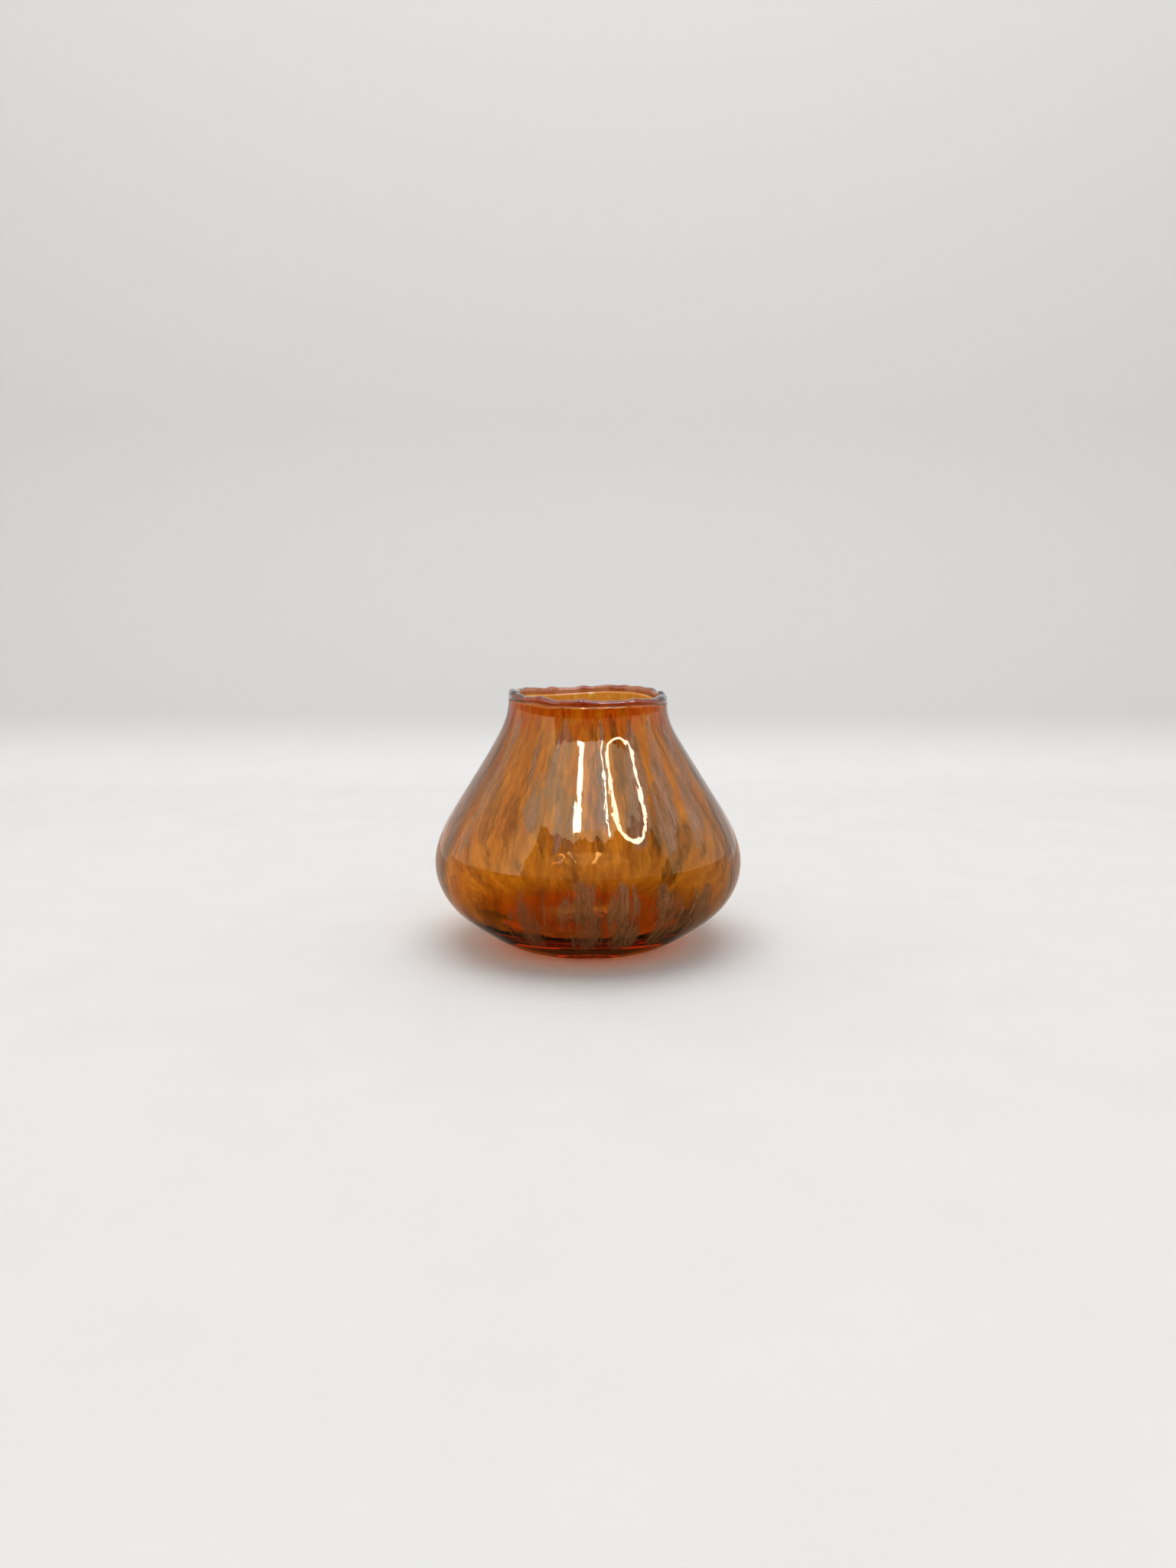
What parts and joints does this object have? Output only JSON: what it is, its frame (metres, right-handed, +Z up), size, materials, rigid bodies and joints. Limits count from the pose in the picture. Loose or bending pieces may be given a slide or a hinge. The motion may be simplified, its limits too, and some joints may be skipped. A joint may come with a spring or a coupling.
{
  "type": "glass bud vase",
  "caption": "Squat hand-blown glass bud vase: a wide round belly on a small flat foot, narrowing to a short open neck with a soft, slightly wavy lip.",
  "frame": {"origin": "centre of the vase's bounding box at its foot, on the surface it stands on", "axes": "+Z up through the mouth; -Y towards the side with the broad amber window; +X to the right seen from there"},
  "size_m": [0.1, 0.1, 0.0829],
  "materials": {
    "clear_glass": "gloss",
    "amber_glass": "gloss",
    "lip_glass": "gloss",
    "smoke_glass": "gloss"
  },
  "bodies": {
    "root": {"clear_casing": "clear_glass", "amber_gather": "amber_glass", "fire_polished_lip": "lip_glass", "pontil_seal": "clear_glass", "smoke_streak_01": "smoke_glass", "smoke_streak_02": "smoke_glass", "smoke_streak_03": "smoke_glass", "smoke_streak_04": "smoke_glass", "smoke_streak_05": "smoke_glass", "smoke_streak_06": "smoke_glass", "smoke_streak_07": "smoke_glass", "smoke_streak_08": "smoke_glass", "smoke_streak_09": "smoke_glass", "smoke_streak_10": "smoke_glass", "smoke_streak_11": "smoke_glass", "smoke_streak_12": "smoke_glass", "smoke_streak_13": "smoke_glass", "smoke_streak_14": "smoke_glass", "smoke_streak_15": "smoke_glass", "smoke_streak_16": "smoke_glass", "smoke_streak_17": "smoke_glass", "smoke_streak_18": "smoke_glass", "smoke_streak_19": "smoke_glass", "smoke_streak_20": "smoke_glass", "smoke_streak_21": "smoke_glass", "smoke_streak_22": "smoke_glass", "smoke_streak_23": "smoke_glass", "smoke_streak_24": "smoke_glass", "smoke_streak_25": "smoke_glass", "smoke_streak_26": "smoke_glass", "smoke_streak_27": "smoke_glass", "smoke_streak_28": "smoke_glass"}
  },
  "joints": []
}
